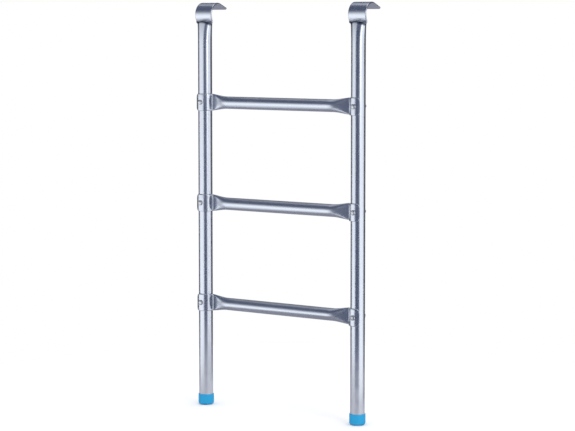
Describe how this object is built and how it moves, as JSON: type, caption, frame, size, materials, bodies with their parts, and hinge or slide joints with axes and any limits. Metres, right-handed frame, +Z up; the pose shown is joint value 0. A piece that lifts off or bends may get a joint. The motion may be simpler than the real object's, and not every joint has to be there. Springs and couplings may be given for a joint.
{
  "type": "hook-on ladder",
  "caption": "Galvanised tube ladder for a pool or trampoline rim: round rails end in flat bent-over hooks, flattened rung ends wrap the rails and are bolted on, and blue caps close the feet.",
  "frame": {"origin": "on the ground, midway between the rails and midway through the ladder's depth, from the bolt heads to the hook tips", "axes": "+Z up along the rails; +X from the left rail to the right rail as the climber faces it; +Y to the back, the way the hooks point"},
  "size_m": [0.461, 0.0778, 0.92],
  "materials": {
    "galvanised_tube": "bright galvanised, glossy, faintly spangled",
    "zinc_fastener": "zinc plated, satin",
    "blue_plastic": "moulded sky-blue plastic, semi-gloss"
  },
  "bodies": {
    "root": {"left_rail": "galvanised_tube", "right_rail": "galvanised_tube", "bottom_rung": "galvanised_tube", "middle_rung": "galvanised_tube", "top_rung": "galvanised_tube", "left_foot_cap": "blue_plastic", "right_foot_cap": "blue_plastic", "bottom_left_bolt": "zinc_fastener", "bottom_left_washer": "zinc_fastener", "bottom_left_nut": "zinc_fastener", "bottom_right_bolt": "zinc_fastener", "bottom_right_washer": "zinc_fastener", "bottom_right_nut": "zinc_fastener", "middle_left_bolt": "zinc_fastener", "middle_left_washer": "zinc_fastener", "middle_left_nut": "zinc_fastener", "middle_right_bolt": "zinc_fastener", "middle_right_washer": "zinc_fastener", "middle_right_nut": "zinc_fastener", "top_left_bolt": "zinc_fastener", "top_left_washer": "zinc_fastener", "top_left_nut": "zinc_fastener", "top_right_bolt": "zinc_fastener", "top_right_washer": "zinc_fastener", "top_right_nut": "zinc_fastener"}
  },
  "joints": []
}
